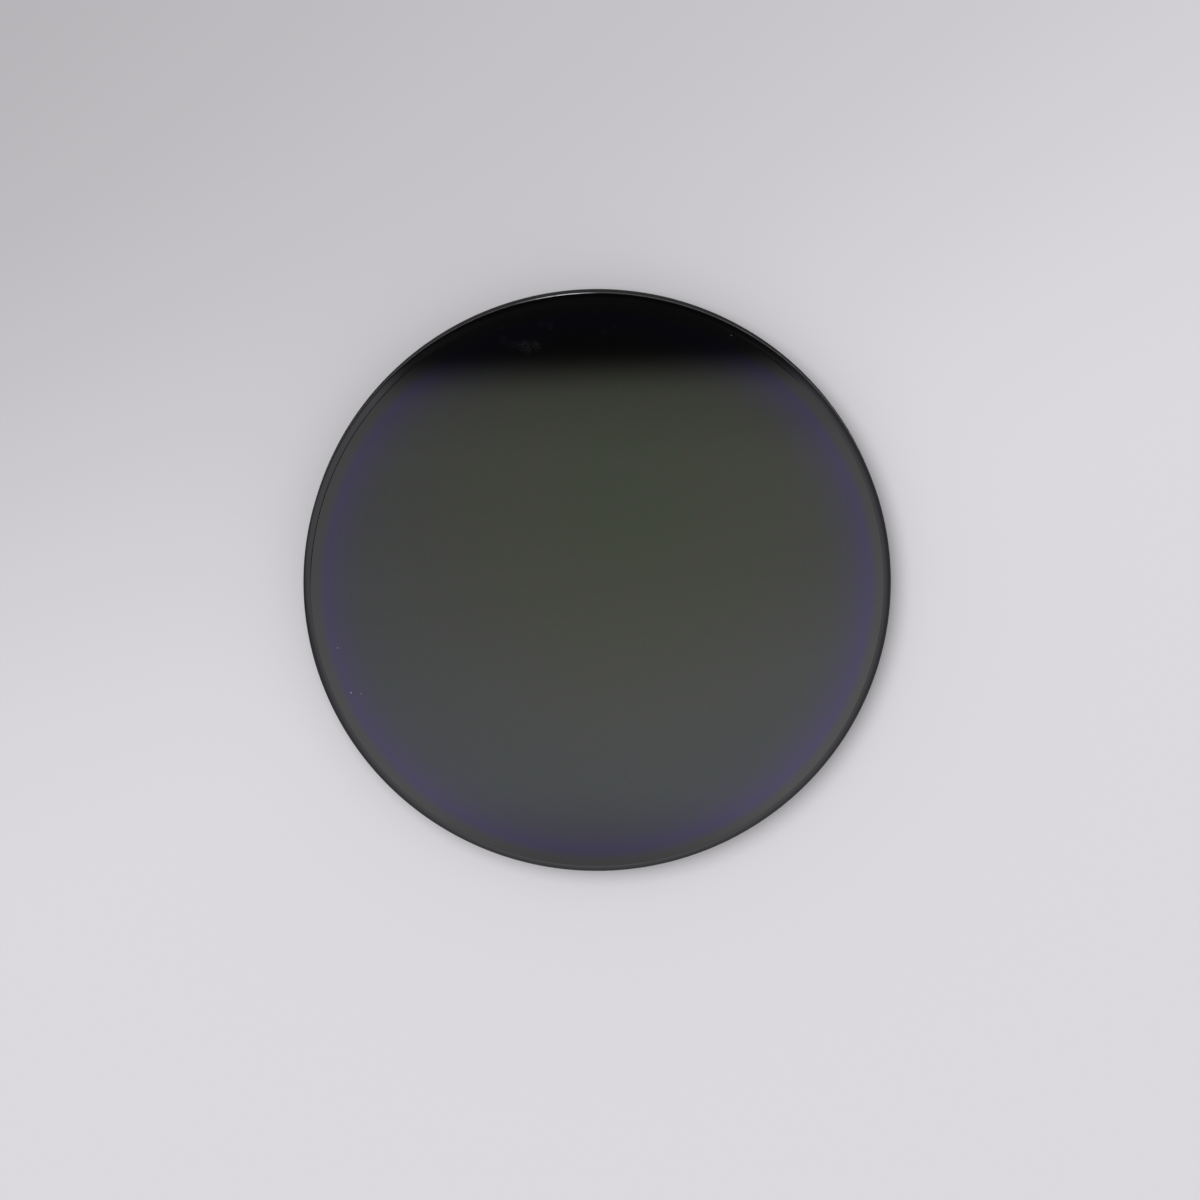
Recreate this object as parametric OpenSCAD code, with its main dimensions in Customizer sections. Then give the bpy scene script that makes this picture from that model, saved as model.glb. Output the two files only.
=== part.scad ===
// Optical window: a flat disc, polished on both faces, with a ground rim and a
// protective bevel round each face. It is ground from one blank.
// It lies on its back face: the origin is the centre of that face, and +Z is the
// optical axis, from the back face to the front face.

/* [Disc] */
// Outer diameter, over the ground rim
window_d = 50.8; // [12:0.1:150]
// Thickness, from polished face to polished face
window_t = 4; // [2.5:0.1:20]

/* [Bevels] */
// Width that a bevel takes from its face, measured along the radius
bevel_w = 0.65; // [0.1:0.05:0.8]
// Slope of the bevels from the plane of the faces, in degrees
bevel_angle = 45; // [30:1:50]

/* [Hidden] */
$fn = 180;

window_r = window_d / 2;
// Radius of the polished flat, inside its bevel
face_r = window_r - bevel_w;
// Height that a bevel takes from the rim
bevel_h = bevel_w * tan(bevel_angle);

// Half of the cross-section, from the back face round the rim to the front face
module half_section() {
    polygon([
        [0, 0],
        [face_r, 0],
        [window_r, bevel_h],
        [window_r, window_t - bevel_h],
        [face_r, window_t],
        [0, window_t]
    ]);
}

module window() {
    color([0.27, 0.28, 0.25])
        rotate_extrude()
            half_section();
}

window();
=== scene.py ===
"""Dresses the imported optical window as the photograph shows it, in a plain pale studio.

The window is one flat disc, polished and coated on both faces. It lies on its back face with the
optical axis along +Z, and the photograph's upward direction is +Y. Lengths are in metres, unless
a name says otherwise.
"""

import logging
import math
from dataclasses import dataclass, field
from enum import Enum
from typing import Union

import bpy
from mathutils import Matrix, Vector


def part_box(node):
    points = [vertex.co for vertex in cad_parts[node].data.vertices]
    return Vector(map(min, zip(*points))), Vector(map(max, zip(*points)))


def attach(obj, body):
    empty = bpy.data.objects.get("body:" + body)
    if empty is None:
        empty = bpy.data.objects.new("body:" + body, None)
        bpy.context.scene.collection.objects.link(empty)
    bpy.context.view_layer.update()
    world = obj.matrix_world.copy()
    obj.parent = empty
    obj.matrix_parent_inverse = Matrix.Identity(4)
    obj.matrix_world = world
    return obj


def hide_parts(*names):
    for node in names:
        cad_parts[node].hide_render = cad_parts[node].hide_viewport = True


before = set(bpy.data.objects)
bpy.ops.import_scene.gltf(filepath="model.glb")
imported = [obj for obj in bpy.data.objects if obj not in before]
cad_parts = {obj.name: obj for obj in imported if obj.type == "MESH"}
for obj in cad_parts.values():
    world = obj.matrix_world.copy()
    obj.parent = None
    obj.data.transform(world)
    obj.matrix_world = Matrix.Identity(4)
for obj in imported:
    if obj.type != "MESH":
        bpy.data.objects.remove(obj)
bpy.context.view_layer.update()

LOG = logging.getLogger("optical_window")
NODE = "window"
BODY = "root"
MM = 0.001
LUMINANCE_WEIGHTS = (0.2126, 0.7152, 0.0722)

Colour = tuple[float, float, float]
Place = tuple[float, float]
Feed = Union[float, Colour, bpy.types.NodeSocket]


class Zone(Enum):
    """The surfaces that a window is ground and polished to. The value is the material's index."""

    FACE = 0
    ARRIS = 1
    BEVEL = 2
    EDGE = 3
    RIM = 4


class Ray(Enum):
    """The kinds of ray that the world tells apart, by their output's name on Light Path."""

    CAMERA = "Is Camera Ray"
    GLOSSY = "Is Glossy Ray"


def tinted(luminance: float, red_share: float = 1.0, blue_share: float = 1.0) -> Colour:
    """Mixes a linear colour of a given luminance.

    Args:
        luminance: The colour's luminance.
        red_share: Red as a share of green.
        blue_share: Blue as a share of green.

    Returns:
        The red, green and blue of the colour.
    """
    red_weight, green_weight, blue_weight = LUMINANCE_WEIGHTS
    green = luminance / (red_weight * red_share + green_weight + blue_weight * blue_share)
    return (green * red_share, green, green * blue_share)


def slope(degrees: float) -> float:
    """Returns the tangent of an angle in degrees."""
    return math.tan(math.radians(degrees))


def toward(azimuth: float, elevation: float) -> Vector:
    """Finds a direction.

    Args:
        azimuth: Degrees from +X towards +Y.
        elevation: Degrees above the floor.

    Returns:
        The direction, one unit long.
    """
    turn, rise = math.radians(azimuth), math.radians(elevation)
    return Vector((math.cos(turn) * math.cos(rise), math.sin(turn) * math.cos(rise), math.sin(rise)))


class NodeGraph:
    """Fills one shader's node tree, with short calls for the nodes that the finishes share."""

    def __init__(self, tree: bpy.types.NodeTree) -> None:
        """Empties a node tree and keeps it.

        Args:
            tree: The tree of a material or a world.
        """
        tree.nodes.clear()
        self.tree = tree

    def add(self, kind: str, inputs: dict[Union[str, int], Feed], **settings: object) -> bpy.types.Node:
        """Adds a node.

        Args:
            kind: The node's type.
            inputs: What each input takes, by the input's name or number: a value or an output.
            settings: The node's own properties.

        Returns:
            The new node.
        """
        node = self.tree.nodes.new(kind)
        for name, value in settings.items():
            setattr(node, name, value)
        for key, feed in inputs.items():
            if isinstance(feed, bpy.types.NodeSocket):
                self.tree.links.new(feed, node.inputs[key])
            elif isinstance(feed, tuple) and len(node.inputs[key].default_value) > len(feed):
                node.inputs[key].default_value = (*feed, 1.0)
            else:
                node.inputs[key].default_value = feed
        return node

    def calc(self, operation: str, *feeds: Feed) -> bpy.types.NodeSocket:
        """Does one sum.

        Args:
            operation: The Math node's operation.
            feeds: Its one, two or three operands.

        Returns:
            The result's socket.
        """
        return self.add("ShaderNodeMath", dict(enumerate(feeds)), operation=operation).outputs[0]

    def vector(self, operation: str, *feeds: Feed) -> bpy.types.NodeSocket:
        """Does one sum with vectors.

        Args:
            operation: The Vector Math node's operation.
            feeds: Its operands.

        Returns:
            The socket of the vector that results.
        """
        return self.add("ShaderNodeVectorMath", dict(enumerate(feeds)), operation=operation).outputs[0]

    def measure(self, operation: str, *feeds: Feed) -> bpy.types.NodeSocket:
        """Measures one or two vectors.

        Args:
            operation: The Vector Math node's operation: LENGTH, DISTANCE or DOT_PRODUCT.
            feeds: Its operands.

        Returns:
            The measure's socket.
        """
        return self.add("ShaderNodeVectorMath", dict(enumerate(feeds)), operation=operation).outputs[1]

    def ease(
        self, value: Feed, start: Feed, end: Feed, low: float = 0.0, high: float = 1.0, smooth: bool = True
    ) -> bpy.types.NodeSocket:
        """Leads a value over from one level to another.

        Args:
            value: What is read.
            start: The value at which the change starts.
            end: The value at which it ends.
            low: The level before the start.
            high: The level after the end.
            smooth: Whether the change starts and ends gently.

        Returns:
            The level's socket.
        """
        limits = {"Value": value, "From Min": start, "From Max": end, "To Min": low, "To Max": high}
        kind = "SMOOTHSTEP" if smooth else "LINEAR"
        return self.add("ShaderNodeMapRange", limits, interpolation_type=kind).outputs[0]

    def blend(self, share: Feed, first: Feed, second: Feed) -> bpy.types.NodeSocket:
        """Blends two colours.

        Args:
            share: The share of the second colour.
            first: The first colour.
            second: The second colour.

        Returns:
            The blend's socket.
        """
        return self.add("ShaderNodeMix", {0: share, 6: first, 7: second}, data_type="RGBA").outputs[2]

    def level(self, share: Feed, first: Feed, second: Feed) -> bpy.types.NodeSocket:
        """Blends two numbers.

        Args:
            share: The share of the second number.
            first: The first number.
            second: The second number.

        Returns:
            The blend's socket.
        """
        return self.add("ShaderNodeMix", {0: share, 2: first, 3: second}).outputs[0]

    def product(self, *feeds: Feed) -> bpy.types.NodeSocket:
        """Multiplies two or more numbers.

        Args:
            feeds: The numbers.

        Returns:
            The product's socket.
        """
        result = feeds[0]
        for feed in feeds[1:]:
            result = self.calc("MULTIPLY", result, feed)
        return result

    def noise(self, place: Feed, scale: float, detail: float = 2.0) -> bpy.types.NodeSocket:
        """Reads a smooth noise.

        Args:
            place: The coordinates to read it at.
            scale: The noise's cycles in each unit of the coordinates.
            detail: How many finer layers it has.

        Returns:
            The noise's socket, mostly from 0.3 to 0.7.
        """
        inputs = {"Vector": place, "Scale": scale, "Detail": detail}
        return self.add("ShaderNodeTexNoise", inputs).outputs["Fac"]

    def flat(self, vector: Feed) -> bpy.types.NodeSocket:
        """Returns the level part of a vector."""
        return self.vector("MULTIPLY", vector, (1.0, 1.0, 0.0))

    def grey(self, level: Feed) -> bpy.types.NodeSocket:
        """Returns a colour with the same level in all three parts."""
        return self.add("ShaderNodeCombineColor", {0: level, 1: level, 2: level}).outputs[0]

    def place(self) -> bpy.types.NodeSocket:
        """Returns the surface's own coordinates, in metres."""
        return self.add("ShaderNodeTexCoord", {}).outputs["Object"]

    def stretch(self, middle: float, half_angles: Place) -> bpy.types.NodeSocket:
        """Bounds a stretch of the disc's circumference.

        Args:
            middle: The direction of its middle, in degrees from +X towards +Y.
            half_angles: How far from the middle it starts to fade, and how far it ends, in degrees.

        Returns:
            The share of the stretch, from 0 outside it to 1 within it.
        """
        outward = self.vector("NORMALIZE", self.flat(self.place()))
        near = self.measure("DOT_PRODUCT", outward, tuple(toward(middle, 0.0)))
        within, outside = (math.cos(math.radians(angle)) for angle in half_angles)
        return self.ease(near, outside, within)

    def split(self, vector: Feed) -> tuple[bpy.types.NodeSocket, ...]:
        """Returns the three parts of a vector."""
        return tuple(self.add("ShaderNodeSeparateXYZ", {0: vector}).outputs)

    def shine(self, **inputs: Feed) -> None:
        """Ends a material with a Principled shader.

        Args:
            inputs: The shader's inputs, with underscores for the spaces in their names.
        """
        named = {key.replace("_", " "): feed for key, feed in inputs.items()}
        shader = self.add("ShaderNodeBsdfPrincipled", named)
        self.add("ShaderNodeOutputMaterial", {"Surface": shader.outputs[0]})


def new_graph(name: str) -> tuple[bpy.types.Material, NodeGraph]:
    """Makes an empty material.

    Args:
        name: The material's name.

    Returns:
        The material and the graph that fills it.
    """
    material = bpy.data.materials.new(name)
    material.use_nodes = True
    return material, NodeGraph(material.node_tree)


@dataclass(frozen=True)
class DiscSizes:
    """The window's sizes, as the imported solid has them."""

    radius: float
    thickness: float
    face_radius: float
    bevel_height: float

    @classmethod
    def from_frame(cls, node: str) -> "DiscSizes":
        """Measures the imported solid.

        Args:
            node: The name of the CAD node.

        Returns:
            Its sizes.
        """
        low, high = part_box(node)
        near = 0.01 * MM
        points = [vertex.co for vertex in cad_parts[node].data.vertices]
        top = [point for point in points if point.z > high.z - near]
        rim = [point for point in points if point.xy.length > high.x - near]
        return cls(
            radius=high.x,
            thickness=high.z - low.z,
            face_radius=max(point.xy.length for point in top),
            bevel_height=high.z - max(point.z for point in rim),
        )


@dataclass(frozen=True)
class Spot:
    """A grain of dust or a spot of dried film on the front face.

    Its place is in shares of the disc's radius, and its cover is the share of the polish it hides.
    """

    x: float
    y: float
    radius_mm: float
    cover: float


@dataclass(frozen=True)
class Soiling:
    """What lies on the front face: grains of dust, and a faint smear near its upper edge."""

    grains: tuple[Spot, ...] = (
        Spot(-0.840, -0.367, 0.09, 0.75),
        Spot(-0.805, -0.370, 0.07, 0.55),
        Spot(-0.884, -0.211, 0.07, 0.65),
        Spot(0.451, 0.858, 0.07, 0.45),
    )
    smear: tuple[Spot, ...] = (
        Spot(-0.316, 0.843, 0.60, 0.030),
        Spot(-0.279, 0.830, 0.60, 0.035),
        Spot(-0.244, 0.824, 0.75, 0.065),
        Spot(-0.230, 0.806, 0.35, 0.060),
        Spot(-0.212, 0.831, 0.50, 0.060),
        Spot(-0.202, 0.819, 0.55, 0.050),
        Spot(-0.187, 0.896, 0.40, 0.030),
        Spot(-0.160, 0.892, 0.40, 0.030),
        Spot(0.022, 0.869, 0.30, 0.030),
        Spot(0.059, 0.889, 0.30, 0.030),
    )
    spot_core: float = 0.2
    smear_grain_mm: float = 0.16
    smear_speckle: Place = (0.38, 0.66)
    dust_spacing_mm: float = 4.5
    dust_radius_mm: float = 0.05
    dust_core: float = 0.3
    dust_cover: float = 0.20
    dust_share: float = 0.45

    def spots(self, graph: NodeGraph, shares: Feed, radius: float, spots: tuple[Spot, ...]) -> Feed:
        """Adds up the cover of some spots.

        Args:
            graph: The material's graph.
            shares: The place on the face, in shares of the disc's radius.
            radius: The disc's radius.
            spots: The spots.

        Returns:
            The cover's socket.
        """
        total = 0.0
        for spot in spots:
            apart = graph.measure("DISTANCE", shares, (spot.x, spot.y, 0.0))
            reach = spot.radius_mm * MM / radius
            fading = graph.ease(apart, self.spot_core * reach, reach, spot.cover, 0.0)
            total = graph.calc("ADD", total, fading)
        return total

    def dust(self, graph: NodeGraph) -> bpy.types.NodeSocket:
        """Scatters fine dust.

        Args:
            graph: The material's graph.

        Returns:
            The cover's socket.
        """
        spacing = self.dust_spacing_mm * MM
        cells = graph.add(
            "ShaderNodeTexVoronoi",
            {"Vector": graph.place(), "Scale": 1 / spacing, "Randomness": 1.0},
            voronoi_dimensions="2D",
        )
        reach = self.dust_radius_mm * MM / spacing
        core = self.dust_core * reach
        grain = graph.ease(cells.outputs["Distance"], core, reach, self.dust_cover, 0.0)
        chosen, size, _ = graph.split(cells.outputs["Color"])
        kept = graph.calc("LESS_THAN", chosen, self.dust_share)
        return graph.product(grain, kept, size)

    def cover(self, graph: NodeGraph, shares: Feed, disc: DiscSizes) -> bpy.types.NodeSocket:
        """Finds how much of the polish is hidden.

        Args:
            graph: The material's graph.
            shares: The place on the face, in shares of the disc's radius.
            disc: The window's sizes.

        Returns:
            The cover's socket, from 0 to 1.
        """
        film_grain = graph.noise(graph.place(), 1 / (self.smear_grain_mm * MM))
        speckle = graph.ease(film_grain, *self.smear_speckle)
        smear = graph.product(self.spots(graph, shares, disc.radius, self.smear), speckle)
        grains = self.spots(graph, shares, disc.radius, self.grains)
        total = graph.calc("ADD", graph.calc("ADD", smear, grains), self.dust(graph))
        height = graph.split(graph.place())[2]
        front = graph.calc("GREATER_THAN", height, disc.thickness / 2)
        return graph.product(total, front)


@dataclass(frozen=True)
class CoatedFace:
    """The polished and coated face: a dark mirror of one brightness, whose colour changes.

    The film is thickest near the middle, which looks a little green, and thins towards the rim. It
    runs out through a narrow violet ring, and leaves an olive margin. Distances are in shares of
    the disc's radius.
    """

    disc: DiscSizes
    soiling: Soiling = field(default_factory=Soiling)
    reflectance: float = 0.0995
    drift_centre: Place = (0.10, 0.33)
    green_start: float = 0.05
    green_reach: float = 0.62
    middle_red: float = 0.885
    outer_red: float = 0.96
    drift_start: float = 0.20
    drift_end: float = 1.14
    middle_blue: float = 0.745
    outer_blue: float = 1.08
    mottle: float = 0.10
    mottle_mm: float = 5.0
    mottle_detail: float = 3.0
    grain_mm: float = 0.6
    grain_limits: Place = (0.35, 0.65)
    grain_warm: Colour = (1.03, 0.99, 1.03)
    grain_green: Colour = (0.97, 1.01, 0.97)
    ring_centre: Place = (0.003, -0.003)
    ring_inside: float = 0.70
    ring_peak: float = 0.918
    ring_outside: float = 0.960
    ring_power: float = 3.2
    violet_red: float = 1.105
    violet_blue: float = 1.76
    margin_lift: float = 1.08
    margin_red: float = 1.03
    dust_colour: Colour = (0.42, 0.41, 0.40)
    polish: float = 0.02

    def film_colour(self, graph: NodeGraph, shares: Feed) -> bpy.types.NodeSocket:
        """Colours the film.

        Args:
            graph: The material's graph.
            shares: The place on the face, in shares of the disc's radius.

        Returns:
            The socket of the film's colour.
        """
        green = tinted(self.reflectance, self.middle_red, self.middle_blue)
        olive = tinted(self.reflectance, self.outer_red, self.middle_blue)
        grey = tinted(self.reflectance, self.outer_red, self.outer_blue)
        violet = tinted(self.reflectance, self.violet_red, self.violet_blue)
        margin = tinted(self.reflectance * self.margin_lift, self.margin_red)
        apart = graph.measure("DISTANCE", shares, (*self.drift_centre, 0.0))
        cloud = graph.noise(graph.place(), 1 / (self.mottle_mm * MM), self.mottle_detail)
        drifted = graph.calc("MULTIPLY_ADD", graph.calc("SUBTRACT", cloud, 0.5), self.mottle, apart)
        film = graph.blend(graph.ease(drifted, self.green_start, self.green_reach), green, olive)
        drift = graph.ease(drifted, self.drift_start, self.drift_end, smooth=False)
        film = graph.blend(drift, film, grey)
        grain = graph.ease(graph.noise(graph.place(), 1 / (self.grain_mm * MM)), *self.grain_limits)
        grain_tint = graph.blend(grain, self.grain_warm, self.grain_green)
        film = graph.vector("MULTIPLY", film, grain_tint)
        radius = graph.measure("DISTANCE", shares, (*self.ring_centre, 0.0))
        near = graph.ease(radius, self.ring_inside, self.ring_peak, smooth=False)
        film = graph.blend(graph.calc("POWER", near, self.ring_power), film, violet)
        return graph.blend(graph.ease(radius, self.ring_peak, self.ring_outside), film, margin)

    def build(self) -> bpy.types.Material:
        """Makes the finish.

        Returns:
            The finish as a material.
        """
        material, graph = new_graph("coated_face")
        share = 1 / self.disc.radius
        shares = graph.vector("MULTIPLY", graph.place(), (share, share, 0.0))
        cover = self.soiling.cover(graph, shares, self.disc)
        colour = graph.blend(cover, self.film_colour(graph, shares), self.dust_colour)
        bare = graph.calc("SUBTRACT", 1.0, cover)
        graph.shine(Base_Color=colour, Metallic=bare, Roughness=self.polish)
        return material


@dataclass(frozen=True)
class Arris:
    """The hairline where face and bevel meet: dark at the upper left, a painted shade, and filmed
    elsewhere.
    """

    painted_dark_reflectance: float = 0.002
    filmed_reflectance: float = 0.064
    painted_dark_middle: float = 112.0
    painted_dark_half_angles: Place = (62.5, 69.0)
    roughness: float = 0.03

    def build(self) -> bpy.types.Material:
        """Makes the finish.

        Returns:
            The finish as a material.
        """
        material, graph = new_graph("dark_arris")
        # painted shade: the arris turns dark at the upper left
        bare = graph.stretch(self.painted_dark_middle, self.painted_dark_half_angles)
        colour = graph.blend(bare, tinted(self.filmed_reflectance), tinted(self.painted_dark_reflectance))
        graph.shine(Base_Color=colour, Metallic=1.0, Roughness=self.roughness)
        return material


@dataclass(frozen=True)
class PolishedBevel:
    """The bevel: smooth, and darker down the slope, a painted shade.

    A painted highlight keeps it lighter farther down at the upper left. The fade is in shares of the
    bevel's width.
    """

    disc: DiscSizes
    inner_reflectance: float = 0.066
    outer_reflectance: float = 0.030
    blue_share: float = 1.05
    fade_start: float = 0.10
    fade_end: float = 0.75
    lit_middle: float = 150.0
    lit_half_angles: Place = (14.0, 45.0)
    lit_reflectance: float = 0.078
    lit_start: float = 0.60
    lit_end: float = 0.95
    roughness: float = 0.09

    def build(self) -> bpy.types.Material:
        """Makes the finish.

        Returns:
            The finish as a material.
        """
        material, graph = new_graph("polished_bevel")
        radius = graph.measure("LENGTH", graph.flat(graph.place()))
        width = self.disc.radius - self.disc.face_radius
        down = graph.calc("DIVIDE", graph.calc("SUBTRACT", radius, self.disc.face_radius), width)
        # painted highlight: the bevel stays lighter farther down at the upper left
        lit_side = graph.stretch(self.lit_middle, self.lit_half_angles)
        start = graph.level(lit_side, self.fade_start, self.lit_start)
        end = graph.level(lit_side, self.fade_end, self.lit_end)
        usual = tinted(self.inner_reflectance, 1.0, self.blue_share)
        inner = graph.blend(lit_side, usual, tinted(self.lit_reflectance, 1.0, self.blue_share))
        outer = tinted(self.outer_reflectance, 1.0, self.blue_share)
        # painted shade: the bevel darkens down its slope, towards the rim
        colour = graph.blend(graph.ease(down, start, end), inner, outer)
        graph.shine(Base_Color=colour, Metallic=1.0, Roughness=self.roughness)
        return material


@dataclass(frozen=True)
class BrokenEdge:
    """The edge where bevel and rim meet: blunted, with fine nicks, and a painted glint at the top.

    The painted glint, a highlight, lies near +Y, and a painted shade makes the edge darker at the upper
    left. Their places are in degrees round the disc from +X towards +Y.
    """

    disc: DiscSizes
    smooth_reflectance: float = 0.05
    nicked_reflectance: float = 0.08
    shade_reflectance: float = 0.018
    shade_middle: float = 145.0
    shade_half_angles: Place = (25.0, 45.0)
    nick_mm: float = 0.5
    nick_limits: Place = (0.35, 0.65)
    ragged_limits: Place = (0.30, 0.55)
    ragged_level: float = 0.5
    glint_reflectance: float = 0.95
    glint_from: float = 92.0
    glint_to: float = 104.0
    glint_fade: float = 2.5
    glint_peak: float = 97.0
    roughness: float = 0.05

    def chips(self, graph: NodeGraph) -> bpy.types.NodeSocket:
        """Returns the noise that places the nicks."""
        return graph.noise(graph.place(), 1 / (self.nick_mm * MM))

    def painted_glint(self, graph: NodeGraph) -> bpy.types.NodeSocket:
        """Bounds the painted glint, a highlight that only the front edge has.

        Args:
            graph: The material's graph.

        Returns:
            The share of the painted glint.
        """
        across, along, height = graph.split(graph.place())
        turn = graph.calc("DEGREES", graph.calc("ARCTAN2", along, across))
        fade = self.glint_fade
        starts = graph.ease(turn, self.glint_from - fade, self.glint_from + fade)
        ends = graph.ease(turn, self.glint_peak, self.glint_to + fade, 1.0, 0.0)
        ragged = graph.ease(self.chips(graph), *self.ragged_limits, self.ragged_level, 1.0)
        front = graph.calc("GREATER_THAN", height, self.disc.thickness / 2)
        return graph.product(starts, ends, ragged, front)

    def build(self) -> bpy.types.Material:
        """Makes the finish.

        Returns:
            The finish as a material.
        """
        material, graph = new_graph("broken_edge")
        nicks = graph.ease(self.chips(graph), *self.nick_limits)
        dull = graph.blend(nicks, tinted(self.smooth_reflectance), tinted(self.nicked_reflectance))
        # painted shade: the edge darkens at the upper left
        shaded = graph.stretch(self.shade_middle, self.shade_half_angles)
        dull = graph.blend(shaded, dull, tinted(self.shade_reflectance))
        # painted highlight: the glint at the top is painted into the edge's colour
        colour = graph.blend(self.painted_glint(graph), dull, tinted(self.glint_reflectance))
        graph.shine(Base_Color=colour, Metallic=1.0, Roughness=self.roughness)
        return material


@dataclass(frozen=True)
class GroundRim:
    """The rim: fine ground and dark, with the grinding wheel's marks round it."""

    dark: float = 0.029
    light: float = 0.052
    mark_mm: float = 0.06
    mark_length_mm: float = 9.0
    mark_depth_mm: float = 0.004
    mark_detail: float = 4.0
    mark_limits: Place = (0.3, 0.7)
    roughness: float = 0.5
    gloss: float = 0.0

    def build(self) -> bpy.types.Material:
        """Makes the finish.

        Returns:
            The finish as a material.
        """
        material, graph = new_graph("ground_rim")
        along, up = 1 / (self.mark_length_mm * MM), 1 / (self.mark_mm * MM)
        stretched = graph.vector("MULTIPLY", graph.place(), (along, along, up))
        marks = graph.noise(stretched, 1.0, self.mark_detail)
        colour = graph.blend(graph.ease(marks, *self.mark_limits), tinted(self.dark), tinted(self.light))
        bump = graph.add("ShaderNodeBump", {"Height": marks, "Distance": self.mark_depth_mm * MM})
        graph.shine(
            Base_Color=colour,
            Roughness=self.roughness,
            Specular_IOR_Level=self.gloss,
            Normal=bump.outputs[0],
        )
        return material


@dataclass(frozen=True)
class Corner:
    """A corner of the cross-section."""

    radius: float
    height: float
    rounding: float
    rounded_as: Zone
    leads_to: Zone


@dataclass(frozen=True)
class Station:
    """A point of the finished cross-section, with its normal and the surface that follows it."""

    radius: float
    height: float
    normal: tuple[float, float]
    zone: Zone


@dataclass
class WindowDisc:
    """The window: one blank, turned about the optical axis, bevelled and polished."""

    sizes: DiscSizes
    arris_rounding: float = 0.08 * MM
    edge_rounding: float = 0.18 * MM
    arc_steps: int = 8
    flat_steps: int = 6
    turns: int = 360

    def corners(self) -> list[Corner]:
        """Lists the corners of the cross-section.

        Returns:
            The corners, from the back face round to the front face.
        """
        disc = self.sizes
        shoulder = disc.thickness - disc.bevel_height
        return [
            Corner(disc.face_radius, 0.0, self.arris_rounding, Zone.ARRIS, Zone.BEVEL),
            Corner(disc.radius, disc.bevel_height, self.edge_rounding, Zone.EDGE, Zone.RIM),
            Corner(disc.radius, shoulder, self.edge_rounding, Zone.EDGE, Zone.BEVEL),
            Corner(disc.face_radius, disc.thickness, self.arris_rounding, Zone.ARRIS, Zone.FACE),
        ]

    def arc(self, corner: Corner, before: Vector, after: Vector) -> list[Station]:
        """Rounds one corner of the cross-section.

        Args:
            corner: The corner.
            before: The direction of the line that comes to it.
            after: The direction of the line that leaves it.

        Returns:
            The stations of the rounding, from its first tangent point to its last.
        """
        turn = before.angle(after)
        start = Vector((corner.radius, corner.height)) - before * corner.rounding * math.tan(turn / 2)
        outward = Vector((before.y, -before.x))
        centre = start - outward * corner.rounding
        stations = []
        for step in range(self.arc_steps + 1):
            normal = outward.copy()
            normal.rotate(Matrix.Rotation(turn * step / self.arc_steps, 2))
            point = centre + normal * corner.rounding
            zone = corner.leads_to if step == self.arc_steps else corner.rounded_as
            stations.append(Station(point.x, point.y, tuple(normal), zone))
        return stations

    def spread(self, first: Station, last: Station) -> list[Station]:
        """Fills a straight stretch of the cross-section.

        Args:
            first: The station at its start.
            last: The station at its end.

        Returns:
            The stations between the two.
        """
        stations = []
        for step in range(1, self.flat_steps):
            share = step / self.flat_steps
            radius = first.radius + (last.radius - first.radius) * share
            height = first.height + (last.height - first.height) * share
            stations.append(Station(radius, height, first.normal, first.zone))
        return stations

    def profile(self) -> list[Station]:
        """Draws the whole cross-section.

        Returns:
            Its stations, from the middle of the back face to the middle of the front face.
        """
        corners = self.corners()
        ends = [Vector((0.0, 0.0)), *(Vector((corner.radius, corner.height)) for corner in corners)]
        ends.append(Vector((0.0, self.sizes.thickness)))
        runs = [(end - start).normalized() for start, end in zip(ends, ends[1:])]
        arcs = [self.arc(corner, before, after) for corner, before, after in zip(corners, runs, runs[1:])]
        stations = [Station(0.0, 0.0, (0.0, -1.0), Zone.FACE)]
        for arc in arcs:
            stations += self.spread(stations[-1], arc[0]) + arc
        middle = Station(0.0, self.sizes.thickness, (0.0, 1.0), Zone.FACE)
        return stations + self.spread(stations[-1], middle) + [middle]

    def skin(self, rings: list[Station]) -> tuple[list[tuple[int, ...]], list[Zone]]:
        """Joins the rings of vertices.

        Args:
            rings: The station of each ring, from the back face to the front face.

        Returns:
            The faces, as numbers of vertices, and the surface that each belongs to.
        """
        count = self.turns
        following = [(number + 1) % count for number in range(count)]
        faces = [(0, 1 + after, 1 + number) for number, after in enumerate(following)]
        zones = [Zone.FACE] * count
        for ring, station in enumerate(rings[:-1]):
            low = 1 + ring * count
            high = low + count
            for number, after in enumerate(following):
                faces.append((low + number, low + after, high + after, high + number))
            zones += [station.zone] * count
        last = 1 + count * len(rings)
        top = last - count
        faces += [(last, top + number, top + after) for number, after in enumerate(following)]
        zones += [Zone.FACE] * count
        return faces, zones

    def build(self, name: str, finishes: dict[Zone, bpy.types.Material]) -> bpy.types.Object:
        """Turns the cross-section into the disc's mesh.

        Args:
            name: The name of the piece.
            finishes: The material of each surface.

        Returns:
            The disc.
        """
        stations = self.profile()
        verts = [(0.0, 0.0, stations[0].height)]
        normals = [(0.0, 0.0, -1.0)]
        for station in stations[1:-1]:
            across, along = station.normal
            for number in range(self.turns):
                angle = math.tau * number / self.turns
                x, y = math.cos(angle), math.sin(angle)
                verts.append((station.radius * x, station.radius * y, station.height))
                normals.append((across * x, across * y, along))
        verts.append((0.0, 0.0, stations[-1].height))
        normals.append((0.0, 0.0, 1.0))
        faces, zones = self.skin(stations[1:-1])
        mesh = bpy.data.meshes.new(name)
        mesh.from_pydata(verts, [], faces)
        for zone in Zone:
            mesh.materials.append(finishes[zone])
        mesh.polygons.foreach_set("material_index", [zone.value for zone in zones])
        mesh.polygons.foreach_set("use_smooth", [True] * len(faces))
        mesh.normals_split_custom_set_from_vertices(normals)
        disc = bpy.data.objects.new(name, mesh)
        bpy.context.scene.collection.objects.link(disc)
        return disc


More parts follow.
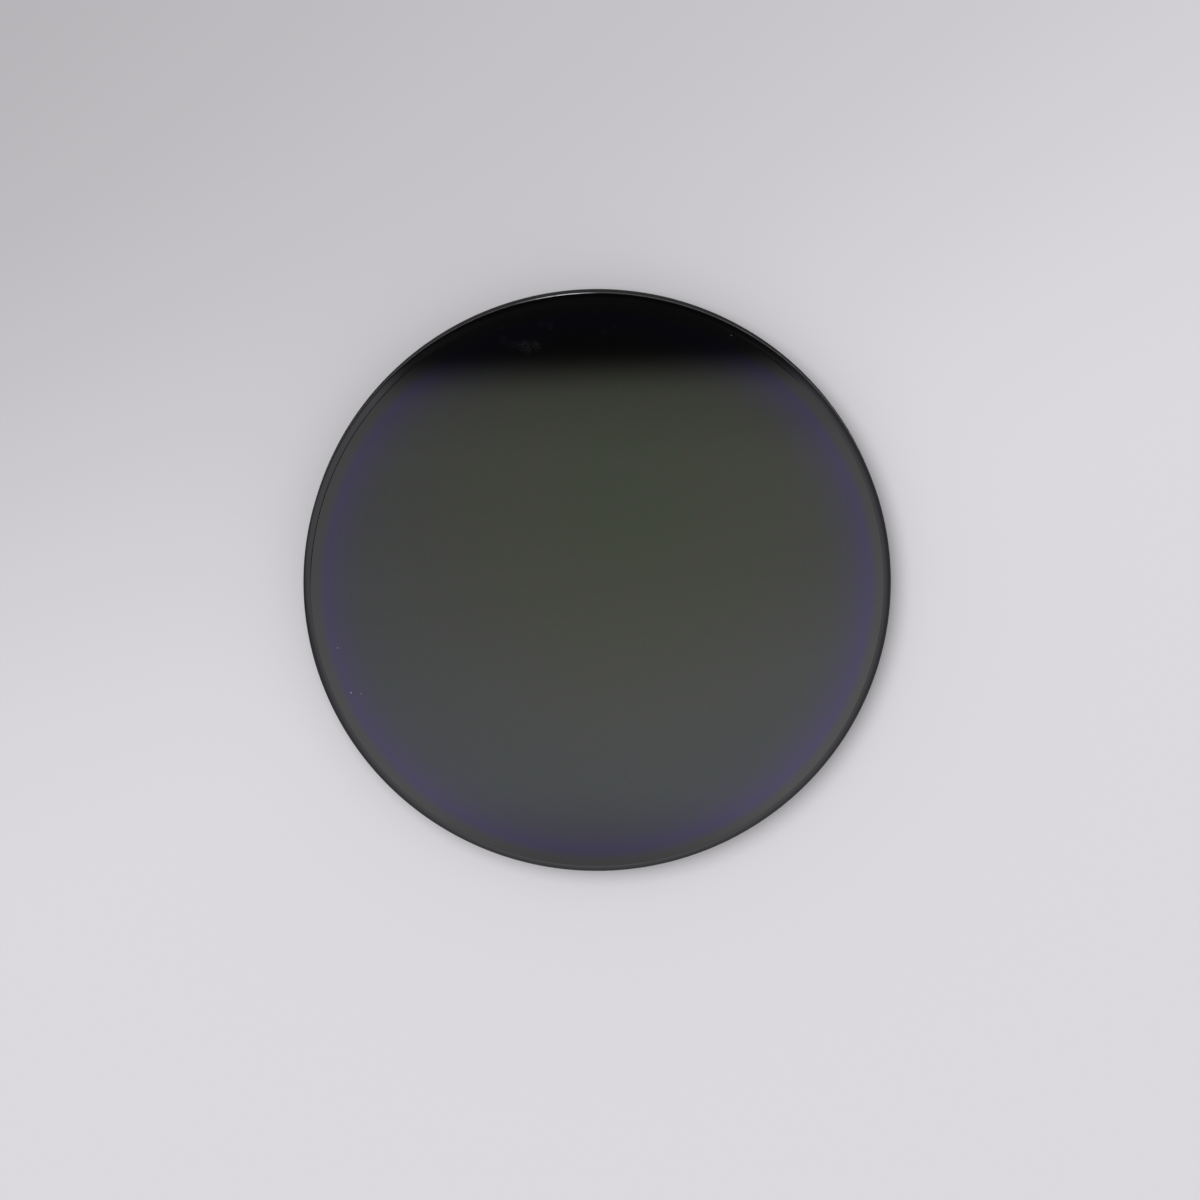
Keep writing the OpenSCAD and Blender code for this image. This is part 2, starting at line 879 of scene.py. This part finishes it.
@dataclass(frozen=True)
class Sweep:
    """How the light falls off over the paper, from the near side to the far upper left.

    The fall is full close to the window, as the photograph shows it, and slight farther away. The
    upper left corner of the photograph is darker still. Reaches and fades are in metres.
    """

    near_tone: float = 1.05
    far_side: Place = (-0.4, 0.917)
    start: float = -0.1
    end: float = 0.7
    softening: float = 0.06
    close_fall: float = 0.25
    distant_fall: float = 0.10
    close_reach: float = 0.07
    distant_reach: float = 0.35
    corner_side: Place = (-0.70, 0.714)
    corner_start: float = 0.03
    corner_end: float = 0.085
    corner_fall: float = 0.16
    corner_fade: Place = (0.075, 0.15)

    def fall(self, graph: NodeGraph, place: Feed, softening: float) -> bpy.types.NodeSocket:
        """Works out how far the light has fallen off.

        Args:
            graph: The graph of the floor's material or of the world.
            place: A place on the floor, or a direction.
            softening: The distance or slope over which the fall comes in.

        Returns:
            The share of the fall, from 0 on the near side to 1 on the far side.
        """
        flat = graph.flat(place)
        square = graph.measure("DOT_PRODUCT", flat, flat)
        reach = graph.calc("SQRT", graph.calc("ADD", square, softening * softening))
        lead = graph.measure("DOT_PRODUCT", flat, (*self.far_side, 0.0))
        return graph.ease(graph.calc("DIVIDE", lead, reach), self.start, self.end)

    def on_paper(self, graph: NodeGraph, place: Feed) -> bpy.types.NodeSocket:
        """Reads the paper's tone.

        Args:
            graph: The graph of the floor's material.
            place: The place on the floor.

        Returns:
            The tone's socket.
        """
        away = graph.measure("LENGTH", place)
        depth = graph.ease(away, self.close_reach, self.distant_reach, self.close_fall, self.distant_fall)
        fallen = graph.product(self.fall(graph, place, self.softening), depth)
        lead = graph.measure("DOT_PRODUCT", place, (*self.corner_side, 0.0))
        corner = graph.ease(lead, self.corner_start, self.corner_end, 0.0, self.corner_fall)
        near = graph.ease(away, *self.corner_fade, 1.0, 0.0)
        dimmed = graph.calc("SUBTRACT", 1.0, graph.product(corner, near))
        return graph.product(graph.calc("SUBTRACT", self.near_tone, fallen), dimmed)

    def on_backdrop(self, graph: NodeGraph, direction: Feed) -> bpy.types.NodeSocket:
        """Reads the backdrop's tone.

        Args:
            graph: The world's graph.
            direction: The direction of a ray.

        Returns:
            The tone's socket.
        """
        fall = self.fall(graph, direction, self.softening)
        return graph.calc("SUBTRACT", self.near_tone, graph.product(fall, self.distant_fall))


@dataclass(frozen=True)
class Paper:
    """The pale paper of the studio, which serves as floor and as backdrop."""

    colour: Colour = (0.680, 0.665, 0.694)
    sweep: Sweep = field(default_factory=Sweep)
    reach: float = 3.4
    fade_start: float = 0.8
    fade_end: float = 3.0

    def toned(self, graph: NodeGraph, tone: bpy.types.NodeSocket) -> bpy.types.NodeSocket:
        """Gives the paper's colour a tone.

        Args:
            graph: The graph of the floor's material or of the world.
            tone: The tone's socket.

        Returns:
            The colour's socket.
        """
        return graph.vector("MULTIPLY", self.colour, graph.grey(tone))

    def paint(self) -> bpy.types.Material:
        """Makes the floor's material, which turns clear far away, where the backdrop takes over.

        Returns:
            The material.
        """
        material, graph = new_graph("pale_paper")
        place = graph.place()
        colour = self.toned(graph, self.sweep.on_paper(graph, place))
        paper = graph.add("ShaderNodeBsdfDiffuse", {"Color": colour})
        clear = graph.add("ShaderNodeBsdfTransparent", {})
        far = graph.ease(graph.measure("LENGTH", place), self.fade_start, self.fade_end)
        mix = graph.add("ShaderNodeMixShader", {0: far, 1: paper.outputs[0], 2: clear.outputs[0]})
        graph.add("ShaderNodeOutputMaterial", {"Surface": mix.outputs[0]})
        return material

    def build(self) -> bpy.types.Object:
        """Lays the floor.

        Returns:
            The floor.
        """
        reach = self.reach
        square = [(-reach, -reach, 0.0), (reach, -reach, 0.0), (reach, reach, 0.0), (-reach, reach, 0.0)]
        mesh = bpy.data.meshes.new("paper_floor")
        mesh.from_pydata(square, [], [(0, 1, 2, 3)])
        mesh.materials.append(self.paint())
        floor = bpy.data.objects.new("paper_floor", mesh)
        bpy.context.scene.collection.objects.link(floor)
        return floor


@dataclass(frozen=True)
class MirroredTable:
    """What the polished face mirrors in the photograph's view: a pale table in front of it.

    The table is brightest near the window, ends at a straight far edge, and beyond that edge the
    room is dark. Both lie in one round patch of directions. Tilts are in degrees from the optical
    axis towards -Y, the patch's side is in degrees towards +X, and its reach is where its fade
    starts and ends, in degrees from its centre.
    """

    near_level: float = 0.707
    far_level: float = 0.540
    near_tilt: float = 12.1
    far_tilt: float = 8.6
    sideways: float = 1.1
    foot_tilts: Place = (12.5, 14.2)
    foot_level: float = 0.42
    brink_tilts: Place = (7.75, 8.75)
    brink_level: float = 0.78
    edge_tilts: Place = (7.33, 7.93)
    edge_lean: float = 0.028
    room: float = 0.021
    centre_tilt: float = 10.17
    centre_side: float = 0.5
    reach: Place = (3.56, 4.0)

    def level(self, graph: NodeGraph, tilt: Feed, side: Feed) -> bpy.types.NodeSocket:
        """Works out the brightness of table and room.

        Args:
            graph: The world's graph.
            tilt: The slope of a direction towards -Y.
            side: The slope of a direction towards +X.

        Returns:
            The brightness's socket.
        """
        depth = (self.far_tilt, self.near_tilt)
        table = self.between(graph, tilt, depth, self.far_level, self.near_level)
        across = graph.calc("MULTIPLY_ADD", side, self.sideways, 1.0)
        foot = self.between(graph, tilt, self.foot_tilts, 1.0, self.foot_level)
        brink = self.between(graph, tilt, self.brink_tilts, self.brink_level, 1.0)
        leaning = graph.calc("MULTIPLY_ADD", side, self.edge_lean, tilt)
        seen = self.between(graph, leaning, self.edge_tilts)
        return graph.level(seen, self.room, graph.product(table, across, foot, brink))

    def share(self, graph: NodeGraph, tilt: Feed, side: Feed) -> bpy.types.NodeSocket:
        """Bounds table and room by their patch, so that other views mirror the plain studio.

        Args:
            graph: The world's graph.
            tilt: The slope of a direction towards -Y.
            side: The slope of a direction towards +X.

        Returns:
            The share of table and room in what a direction shows.
        """
        centre = (slope(self.centre_side), slope(self.centre_tilt), 0.0)
        place = graph.add("ShaderNodeCombineXYZ", {0: side, 1: tilt}).outputs[0]
        away = graph.measure("DISTANCE", place, centre)
        return self.between(graph, away, self.reach, 1.0, 0.0)

    @staticmethod
    def between(
        graph: NodeGraph, value: Feed, angles: Place, low: float = 0.0, high: float = 1.0
    ) -> bpy.types.NodeSocket:
        """Eases a slope between two angles.

        Args:
            graph: The world's graph.
            value: The slope.
            angles: The two angles in degrees.
            low: The level before the first one.
            high: The level after the second one.

        Returns:
            The level's socket.
        """
        return graph.ease(value, slope(angles[0]), slope(angles[1]), low, high)


@dataclass(frozen=True)
class DarkCorner:
    """The unlit part of the room, low beyond the far side, which blackens the upper bevel.

    Its rises are in degrees above the floor: where it starts, is full, fades and ends. Its spread is
    the cosine of the turn from +Y, where it ends and where it is full.
    """

    level: float = 0.040
    rises: tuple[float, float, float, float] = (3.2, 3.7, 7.0, 20.0)
    spread: Place = (0.52, 0.70)

    def share(self, graph: NodeGraph, along: Feed, flat: Feed, up: Feed) -> bpy.types.NodeSocket:
        """Bounds the dark corner.

        Args:
            graph: The world's graph.
            along: The part of a direction along +Y.
            flat: The length of the direction's level part.
            up: The upward part of the direction.

        Returns:
            The share of the dark corner in what the direction shows.
        """
        low, full, fading, high = (math.sin(math.radians(angle)) for angle in self.rises)
        above = graph.ease(up, low, full)
        below = graph.ease(up, fading, high, 1.0, 0.0)
        facing = graph.ease(graph.calc("DIVIDE", along, flat), *self.spread)
        return graph.product(above, below, facing)


@dataclass(frozen=True)
class KeyLight:
    """The large soft lamp, far enough away to light the whole floor evenly.

    Matt surfaces are lit by a lamp. Polished ones mirror a soft glow instead, without a hard edge.
    Angles are in degrees, and the floor's share is the light that the lamp gives to a level floor.
    """

    azimuth: float = 127.0
    elevation: float = 70.0
    softness: float = 40.0
    floor_share: float = 0.55
    glow_elevation: float = 61.0
    glow_level: float = 3.5
    glow_core: float = 5.0
    glow_edge: float = 30.0

    def glow(self, graph: NodeGraph, direction: Feed) -> bpy.types.NodeSocket:
        """Bounds the glow.

        Args:
            graph: The world's graph.
            direction: The direction that a ray looks in.

        Returns:
            The share of the glow in what the direction shows.
        """
        centre = tuple(toward(self.azimuth, self.glow_elevation))
        near = graph.measure("DOT_PRODUCT", direction, centre)
        edge, core = (math.cos(math.radians(angle)) for angle in (self.glow_edge, self.glow_core))
        return graph.ease(near, edge, core)

    def build(self) -> bpy.types.Object:
        """Hangs the lamp.

        Returns:
            The lamp, which polished surfaces don't mirror.
        """
        data = bpy.data.lights.new("key_light", "SUN")
        data.angle = math.radians(self.softness)
        data.energy = self.floor_share * math.pi / math.sin(math.radians(self.elevation))
        lamp = bpy.data.objects.new("key_light", data)
        lamp.rotation_mode = "QUATERNION"
        lamp.rotation_quaternion = toward(self.azimuth, self.elevation).to_track_quat("Z", "Y")
        lamp.visible_glossy = False
        bpy.context.scene.collection.objects.link(lamp)
        return lamp


@dataclass(frozen=True)
class StudioSky:
    """The world: paper to the camera, a soft fill to matt surfaces, and the room to the polish."""

    paper: Paper
    key: KeyLight
    table: MirroredTable = field(default_factory=MirroredTable)
    corner: DarkCorner = field(default_factory=DarkCorner)
    fill: float = 0.45
    least_slope: float = 0.01

    def mirrored(self, graph: NodeGraph, direction: Feed, backdrop: Feed) -> bpy.types.NodeSocket:
        """Works out the colour that the polished surfaces mirror.

        Args:
            graph: The world's graph.
            direction: The direction that a ray looks in.
            backdrop: The backdrop's colour in that direction.

        Returns:
            The colour's socket.
        """
        across, along, up = graph.split(direction)
        rise = graph.calc("MAXIMUM", up, self.least_slope)
        tilt = graph.calc("DIVIDE", graph.product(along, -1.0), rise)
        side = graph.calc("DIVIDE", across, rise)
        view = graph.blend(self.key.glow(graph, direction), backdrop, (self.key.glow_level,) * 3)
        table = graph.grey(self.table.level(graph, tilt, side))
        view = graph.blend(self.table.share(graph, tilt, side), view, table)
        flat = graph.calc("MAXIMUM", graph.measure("LENGTH", graph.flat(direction)), self.least_slope)
        share = self.corner.share(graph, along, flat, up)
        return graph.blend(share, view, (self.corner.level,) * 3)

    def build(self) -> bpy.types.World:
        """Sets the world up.

        Returns:
            The world, set as the scene's own.
        """
        world = bpy.data.worlds.new("studio")
        world.use_nodes = True
        graph = NodeGraph(world.node_tree)
        direction = graph.add("ShaderNodeTexCoord", {}).outputs["Generated"]
        rays = graph.add("ShaderNodeLightPath", {})
        backdrop = self.paper.toned(graph, self.paper.sweep.on_backdrop(graph, direction))
        mirrored = self.mirrored(graph, direction, backdrop)
        light = graph.blend(rays.outputs[Ray.GLOSSY.value], (self.fill,) * 3, mirrored)
        colour = graph.blend(rays.outputs[Ray.CAMERA.value], light, backdrop)
        background = graph.add("ShaderNodeBackground", {"Color": colour, "Strength": 1.0})
        graph.add("ShaderNodeOutputWorld", {"Surface": background.outputs[0]})
        bpy.context.scene.world = world
        return world


@dataclass(frozen=True)
class PhotoCamera:
    """The photograph's camera, fitted to the disc's outline, its face and its bevel.

    The tilt is from the optical axis towards the photograph's top, and the turn towards its left.
    """

    tilt: float = 10.17
    turn: float = 0.5
    distance_in_radii: float = 16.0
    focal_px: float = 4710.0
    frame_px: float = 1200.0
    face_centre_px: Place = (597.4, 586.4)
    sensor_mm: float = 36.0
    clip_in_distances: Place = (0.1, 100.0)

    def build(self, disc: DiscSizes) -> bpy.types.Object:
        """Sets the camera up.

        Args:
            disc: The window that it looks at.

        Returns:
            The camera, set as the scene's own.
        """
        face = Vector((0.0, 0.0, disc.thickness))
        tilt, turn = math.radians(self.tilt), math.radians(self.turn)
        distance = self.distance_in_radii * disc.radius
        away = Vector((-math.sin(turn) * math.cos(tilt), math.sin(tilt), math.cos(turn) * math.cos(tilt)))
        location = face + away * distance
        right, up = self.axes(away)
        per_px = distance / self.focal_px
        across, down = (self.frame_px / 2 - centre for centre in self.face_centre_px)
        aim = face + (right * across - up * down) * per_px
        back = (location - aim).normalized()
        right, up = self.axes(back)
        data = bpy.data.cameras.new("photo_camera")
        data.sensor_width = self.sensor_mm
        data.lens = self.focal_px * self.sensor_mm / self.frame_px
        data.clip_start, data.clip_end = (share * distance for share in self.clip_in_distances)
        camera = bpy.data.objects.new("photo_camera", data)
        turned = Matrix((right, up, back)).transposed().to_4x4()
        camera.matrix_world = Matrix.Translation(location) @ turned
        bpy.context.scene.collection.objects.link(camera)
        bpy.context.scene.camera = camera
        return camera

    @staticmethod
    def axes(back: Vector) -> tuple[Vector, Vector]:
        """Finds the picture's right and up directions, with +Y upright in it.

        Args:
            back: The direction from what the camera looks at to the camera.

        Returns:
            The two directions.
        """
        right = Vector((0.0, 1.0, 0.0)).cross(back).normalized()
        return right, back.cross(right)


def main() -> None:
    """Builds the window, its studio and the camera, and reports each piece."""
    logging.basicConfig(level=logging.INFO, format="%(name)s: %(message)s")
    bpy.context.scene.view_settings.view_transform = "Standard"
    sizes = DiscSizes.from_frame(NODE)
    PhotoCamera().build(sizes)
    finishes = {
        Zone.FACE: CoatedFace(sizes).build(),
        Zone.ARRIS: Arris().build(),
        Zone.BEVEL: PolishedBevel(sizes).build(),
        Zone.EDGE: BrokenEdge(sizes).build(),
        Zone.RIM: GroundRim().build(),
    }
    piece = WindowDisc(sizes).build("window_disc", finishes)
    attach(piece, BODY)
    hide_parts(NODE)
    LOG.info("%s: %d faces, %.1f mm across", piece.name, len(piece.data.polygons), 2 * sizes.radius / MM)
    paper = Paper()
    paper.build()
    key = KeyLight()
    key.build()
    StudioSky(paper, key).build()
    LOG.info("studio: paper floor and backdrop, and the key light")


if __name__ == "__main__":
    main()
